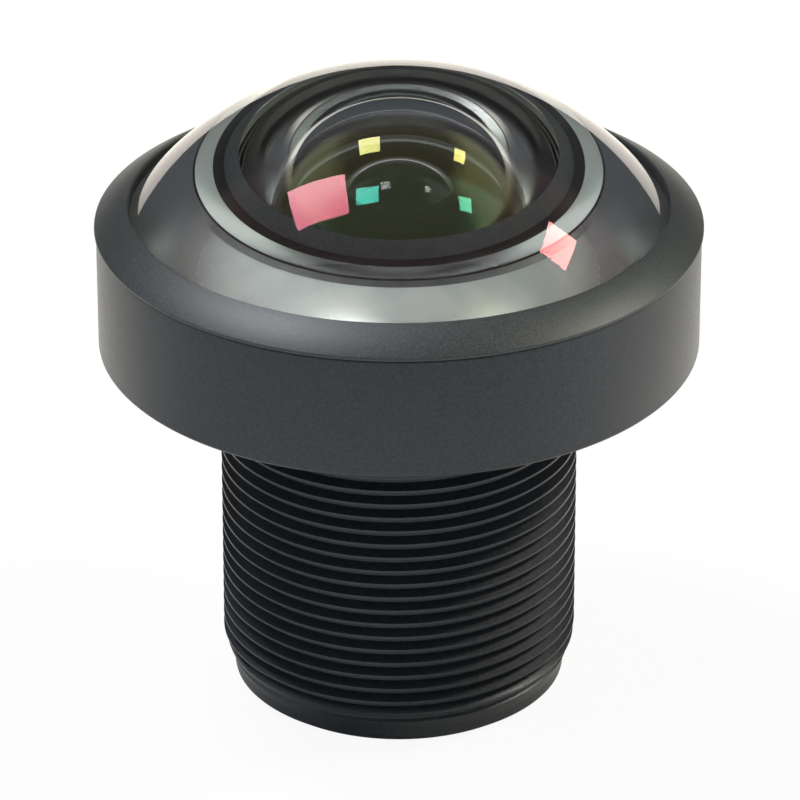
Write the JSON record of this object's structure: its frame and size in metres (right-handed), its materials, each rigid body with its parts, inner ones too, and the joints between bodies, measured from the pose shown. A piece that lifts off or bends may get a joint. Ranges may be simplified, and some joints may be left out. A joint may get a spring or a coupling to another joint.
{
  "type": "board camera lens",
  "caption": "Fixed-focus wide-angle board camera lens: threaded shank, wide round head and a steep glass dome held by a bevelled ring.",
  "frame": {"origin": "centre of the rear end, on the surface the lens stands on", "axes": "+Z along the optical axis, from the rear end towards the dome"},
  "size_m": [0.0202, 0.0202, 0.0217],
  "materials": {
    "barrel_metal": "black anodised, satin",
    "ring_metal": "dark anodised, fine turned",
    "seat_metal": "bare, fine turned",
    "front_glass": "coated optical glass",
    "inner_glass": "coated optical glass",
    "filter_glass": "coated filter glass, reddish mirror",
    "seal_rubber": "matt",
    "inner_metal": "black anodised, matt",
    "baffle_film": "matt black film",
    "adhesive": "cured adhesive"
  },
  "bodies": {
    "root": {"barrel": "barrel_metal", "front_retaining_ring": "ring_metal", "front_element": "front_glass", "front_seat_ring": "seat_metal", "front_seal_ring": "seal_rubber", "second_element_clamp_ring": "seat_metal", "second_element": "inner_glass", "front_light_baffle": "baffle_film", "front_spacer": "inner_metal", "third_element": "inner_glass", "aperture_stop": "baffle_film", "stop_spacer": "inner_metal", "fourth_element": "inner_glass", "doublet_spacer": "inner_metal", "doublet_front_element": "inner_glass", "doublet_rear_element": "inner_glass", "rear_light_baffle": "baffle_film", "rear_spacer": "inner_metal", "rear_element": "inner_glass", "rear_retaining_ring": "inner_metal", "ir_cut_filter": "filter_glass", "filter_adhesive_ring": "adhesive"}
  },
  "joints": []
}
